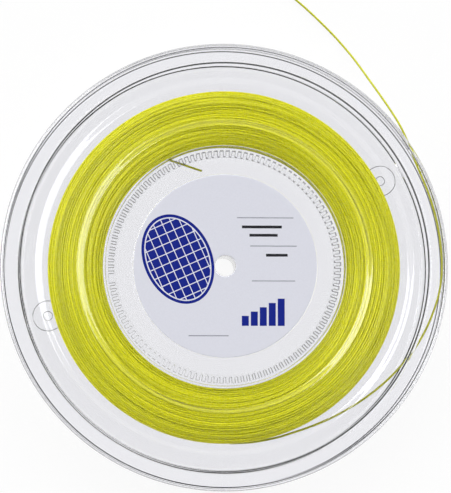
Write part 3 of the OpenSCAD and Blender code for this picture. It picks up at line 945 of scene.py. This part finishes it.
class STRINGREEL_OT_back_shell(bpy.types.Operator):
    """Add the moulded back shell with its centre tube, ribbed guide, exit slot and gate pads"""

    bl_idname = "string_reel.back_shell"
    bl_label = "Back shell"

    def execute(self, context):
        sizes, colours = context.scene.string_reel_sizes, context.scene.string_reel_colours
        case_r, case_h = sizes.casing_radius / MM, sizes.casing_height / MM
        ledge = RIM_STEP + SHELL_T
        # Underside, step and lip
        outline = [(BORE_R, 0.0), (STEP_RO, 0.0), (STEP_RO + STEP_W, RIM_STEP)]
        outline += [(LIP_R - LIP_BEVEL / 2, RIM_STEP), (LIP_R + LIP_BEVEL / 2, RIM_STEP + LIP_DROP)]
        # Rim wall, with its half of the lap joint
        outline += arc((case_r - RIM_ROUND, RIM_STEP + LIP_DROP + RIM_ROUND), RIM_ROUND, 270, 360)
        outline += [(case_r, SEAM_Z), (LAP_R, SEAM_Z), (LAP_R, SEAM_Z + LAP_H), (WALL_RI, SEAM_Z + LAP_H),
                    (WALL_RI, ledge)]
        # Inside, thrust ring and centre tube
        outline += [(STEP_RI + STEP_W, ledge), (STEP_RI, SHELL_T)]
        outline += [(SLEEVE_RO, SHELL_T), (SLEEVE_RO, SHELL_T + THRUST_H), (TUBE_RO, SHELL_T + THRUST_H),
                    (TUBE_RO, case_h - SHELL_T - HAIR), (BORE_R, case_h - SHELL_T - HAIR)]
        piece = shell_half(context, "back_half", outline, "back_shell")
        # A pad is a shallow ring with sloping sides, cut from below
        over, outer_slope, inner_slope = 0.1, 0.35, 0.3
        ring = [(GATE_R - over, -1.0), (PAD_R + over, -1.0), (PAD_R + over, -over),
                (PAD_R - outer_slope, PAD_DEPTH), (GATE_R + inner_slope, PAD_DEPTH), (GATE_R - over, -over)]
        points, faces = turned(ring, full_turn(PAD_STEPS))
        for angle in PAD_ANGLES:
            where = placed(PAD_AT, angle, 0.0)
            cut(context, piece, [where @ Vector(p) for p in points], faces)
        paint_lip_shade(piece, colours)
        return {"FINISHED"}


class STRINGREEL_OT_front_shell(bpy.types.Operator):
    """Add the moulded front shell with its soft rings, label seat, rim step and centre collar"""

    bl_idname = "string_reel.front_shell"
    bl_label = "Front shell"

    def execute(self, context):
        sizes, colours = context.scene.string_reel_sizes, context.scene.string_reel_colours
        case_r, case_h = sizes.casing_radius / MM, sizes.casing_height / MM
        mid_top, low_top = case_h - CROWN_DROP, case_h - 2 * CROWN_DROP
        band_top = low_top - RIM_STEP
        lap_z = SEAM_Z + LAP_H + FIT
        # Label seat, soft rings, step and lip
        outline = [(BORE_R, case_h - LABEL_T), (SEAT_R, case_h - LABEL_T), (SEAT_R, case_h)]
        outline += soft_step(CROWN_R[0], CROWN_W, case_h, CROWN_DROP)
        outline += soft_step(CROWN_R[1], CROWN_W, mid_top, CROWN_DROP)
        step_ri, step_ro = STEP_RI + FRONT_STEP_OUT, STEP_RO + FRONT_STEP_OUT
        outline += [(step_ro, low_top), (step_ro + STEP_W, band_top)]
        outline += [(LIP_R - LIP_BEVEL / 2, band_top), (LIP_R + LIP_BEVEL / 2, band_top - LIP_DROP)]
        # Rim wall, with its half of the lap joint
        outline += arc((case_r - RIM_ROUND, band_top - LIP_DROP - RIM_ROUND), RIM_ROUND, 90, 0)
        outline += [(case_r, SEAM_Z + HAIR), (LAP_R + FIT, SEAM_Z + HAIR), (LAP_R + FIT, lap_z),
                    (WALL_RI, lap_z), (WALL_RI, band_top - SHELL_T)]
        # Inside, with the collar over the tube
        outline += [(step_ri + STEP_W, band_top - SHELL_T), (step_ri, low_top - SHELL_T)]
        outline += soft_step(CROWN_R[1], CROWN_W, mid_top - SHELL_T, CROWN_DROP)[::-1]
        outline += soft_step(CROWN_R[0], CROWN_W, case_h - SHELL_T, CROWN_DROP)[::-1]
        under = case_h - SHELL_T
        outline += [(CAP_RO, under), (CAP_RO, under - CAP_H), (CAP_RI, under - CAP_H), (CAP_RI, under),
                    (BORE_R, under)]
        piece = shell_half(context, "front_half", outline, "front_shell")
        paint_lip_shade(piece, colours)
        return {"FINISHED"}


class STRINGREEL_OT_spool(bpy.types.Operator):
    """Add the spool's back flange with its drum and sleeve, and the front flange with its toothed collar"""

    bl_idname = "string_reel.spool"
    bl_label = "Spool"

    def execute(self, context):
        sizes, colours = context.scene.string_reel_sizes, context.scene.string_reel_colours
        flange_r, drum_r = sizes.flange_radius / MM, sizes.drum_radius / MM
        add_drum_flange(context, flange_r, drum_r, colours)
        add_toothed_flange(context, flange_r, sizes.tooth_count, colours)
        return {"FINISHED"}


class STRINGREEL_OT_winding(bpy.types.Operator):
    """Add the wound string, turn by turn, with the slight wander that a winding machine leaves"""

    bl_idname = "string_reel.winding"
    bl_label = "Winding"

    def execute(self, context):
        sizes, colours = context.scene.string_reel_sizes, context.scene.string_reel_colours
        chance = random.Random(41)
        d = sizes.string_diameter / MM
        layers, turns = sizes.layer_count, sizes.turn_count
        first_r, low = WIND_RI + d / 2, WIND_LOW + d / 2
        last_r, high = first_r + (layers - 1) * LAYER_PITCH, low + (turns - 1) * TURN_PITCH

        def wander(size, waves=(1, 2, 3, 5)):
            parts = [(n, chance.uniform(0.3, 1.0) * size / n ** 0.5, chance.uniform(0, math.tau))
                     for n in waves]
            return lambda a: sum(s * math.sin(n * a + p) for n, s, p in parts) / 2

        def crowned(r):
            """How far the wound surface lies below the highest turn at a radius, more so at both sides."""
            inner, outer = max(0.0, 1 - (r - first_r) / INNER_W), max(0.0, 1 - (last_r - r) / OUTER_W)
            return FACE_DROP + INNER_DROP * inner ** INNER_CURVE + OUTER_DROP * outer ** OUTER_CURVE

        def turn_of_string(r, z, steps, sides, sway):
            out, rise = wander(sway[0]), wander(sway[1])
            made = []
            for i in range(steps):
                a = math.tau * i / steps
                reach = r + out(a)
                height = z + max(WANDER_LOW, min(WANDER_HIGH, rise(a)))
                made.append((reach * math.cos(a), reach * math.sin(a), height))
            return strand(made, d, sides, True)

        parts = []
        for i in range(layers):
            r = first_r + i * LAYER_PITCH
            sunk = chance.uniform(0.0, SUNK_MOST) if chance.random() < SUNK_SHARE else 0.0
            parts.append(turn_of_string(r, high - crowned(r) - sunk, FACE_STEPS, FACE_SIDES, FACE_WANDER))
            parts.append(turn_of_string(r, low, HIDDEN_STEPS, HIDDEN_SIDES, HIDDEN_WANDER))
        # The drum side and the outer side, as far up as the face leaves room
        for j in range(1, turns - 1):
            z = low + j * TURN_PITCH
            for r, steps, sides in ((last_r, FACE_STEPS, FACE_SIDES), (first_r, HIDDEN_STEPS, HIDDEN_SIDES)):
                if z < high - crowned(r) - FACE_ROOM:
                    parts.append(turn_of_string(r, z, steps, sides, HIDDEN_WANDER))
        # Where a turn steps to the next layer it crosses its neighbours at a small angle
        for i in range(CROSSINGS):
            begin, sweep = chance.uniform(0, math.tau), chance.uniform(*CROSS_SWEEP)
            from_r = chance.uniform(first_r + CROSS_MARGIN + 1, last_r - CROSS_MARGIN - 1)
            climb = chance.choice((-1, 1)) * chance.uniform(*CROSS_CLIMB)
            if not first_r + CROSS_MARGIN < from_r + climb < last_r - CROSS_MARGIN:
                climb = -climb
            lift = chance.uniform(*CROSS_LIFT)
            made = []
            for k in range(CROSS_STEPS + 1):
                t = k / CROSS_STEPS
                a = begin + sweep * t
                r = from_r + climb * (t - math.sin(math.tau * t) / math.tau)
                dive = CROSS_DIVE * (1 - math.sin(math.pi * t) ** CROSS_BLUNT)
                z = min(high - crowned(r) + lift - dive, high + CROSS_TOP)
                made.append((r * math.cos(a), r * math.sin(a), z))
            parts.append(strand(made, d, FACE_SIDES, False))
        outer_r = last_r + CORE_OUT
        core = [(first_r, low - CORE_OUT), (outer_r, low - CORE_OUT)]
        for i in range(CORE_STEPS + 1):
            r = outer_r - (outer_r - first_r) * i / CORE_STEPS
            core.append((r, high - CORE_DROP - crowned(min(r, last_r))))
        parts.append(turned(core, full_turn(CORE_TURN)))
        as_piece(context, "wound_turns", *joined(parts), "spool", polyester_monofilament(colours),
                 "yellow_string", "string_winding", sharp=60)
        return {"FINISHED"}


class STRINGREEL_OT_label(bpy.types.Operator):
    """Add the round printed paper label in its seat"""

    bl_idname = "string_reel.label"
    bl_label = "Label"

    def execute(self, context):
        sizes, colours = context.scene.string_reel_sizes, context.scene.string_reel_colours
        top = sizes.casing_height / MM
        low = top - LABEL_T + 0.02
        outer = sizes.label_radius / MM
        outline = [(LABEL_HOLE_R, low), (outer, low), (outer, top), (LABEL_HOLE_R, top)]
        points, faces = turned(guarded(eased(outline, LABEL_EASE, 2)), full_turn(LABEL_STEPS))
        as_piece(context, "paper_label", points, faces, "casing", printed_label_paper(colours),
                 "label_paper", "front_label")
        return {"FINISHED"}


class STRINGREEL_OT_stage(bpy.types.Operator):
    """Add the pale table, the two soft boxes and the sky"""

    bl_idname = "string_reel.stage"
    bl_label = "Stage"

    def execute(self, context):
        colours = context.scene.string_reel_colours
        mesh = bpy.data.meshes.new("table")
        work = bmesh.new()
        turns = [math.radians(a) for a in full_turn(TABLE_SIDES)]
        rings = [[work.verts.new((r * math.cos(a), r * math.sin(a), TABLE_Z)) for a in turns]
                 for r in TABLE_RINGS]
        work.faces.new(rings[0])
        for inner, outer in zip(rings, rings[1:]):
            for i in range(TABLE_SIDES):
                n = (i + 1) % TABLE_SIDES
                work.faces.new((inner[i], outer[i], outer[n], inner[n]))
        work.to_mesh(mesh)
        work.free()
        mesh.materials.append(pale_table(colours))
        table = bpy.data.objects.new("table", mesh)
        context.scene.collection.objects.link(table)

        add_soft_box(context, "left_box", (-0.56, 0.22, 1.25), (0.80, 0.72), radiance=3.2)
        add_soft_box(context, "right_box", (0.61, -0.17, 1.30), (0.52, 0.45), radiance=4.2)
        context.scene.world = studio_sky()
        context.scene.view_settings.view_transform = "Standard"
        # A ray of light crosses eight or more clear faces on its way down, and still more in the rim
        context.scene.cycles.transparent_max_bounces = 32
        return {"FINISHED"}


class STRINGREEL_PT_panel(bpy.types.Panel):
    """Sizes, colours and pieces of the string reel"""

    bl_idname = "STRINGREEL_PT_panel"
    bl_label = "String Reel"
    bl_space_type = "VIEW_3D"
    bl_region_type = "UI"
    bl_category = "String Reel"

    def draw(self, context):
        layout = self.layout
        for group in (context.scene.string_reel_sizes, context.scene.string_reel_colours):
            box = layout.box()
            for name in group.__annotations__:
                box.prop(group, name)
        for operator in OPERATORS:
            layout.operator(operator.bl_idname)


OPERATORS = (STRINGREEL_OT_camera, STRINGREEL_OT_string_ends, STRINGREEL_OT_back_shell,
             STRINGREEL_OT_front_shell, STRINGREEL_OT_spool, STRINGREEL_OT_winding, STRINGREEL_OT_label,
             STRINGREEL_OT_stage)
CLASSES = (StringReelSizes, StringReelColours, *OPERATORS, STRINGREEL_PT_panel)


def register():
    for made in CLASSES:
        bpy.utils.register_class(made)
    bpy.types.Scene.string_reel_sizes = bpy.props.PointerProperty(type=StringReelSizes)
    bpy.types.Scene.string_reel_colours = bpy.props.PointerProperty(type=StringReelColours)


def unregister():
    del bpy.types.Scene.string_reel_colours
    del bpy.types.Scene.string_reel_sizes
    for made in reversed(CLASSES):
        bpy.utils.unregister_class(made)


def main():
    """Makes the whole reel and its stage."""
    register()
    bpy.ops.string_reel.camera()
    bpy.ops.string_reel.string_ends()
    bpy.ops.string_reel.back_shell()
    bpy.ops.string_reel.front_shell()
    bpy.ops.string_reel.spool()
    bpy.ops.string_reel.winding()
    bpy.ops.string_reel.label()
    bpy.ops.string_reel.stage()


if __name__ == "__main__":
    main()
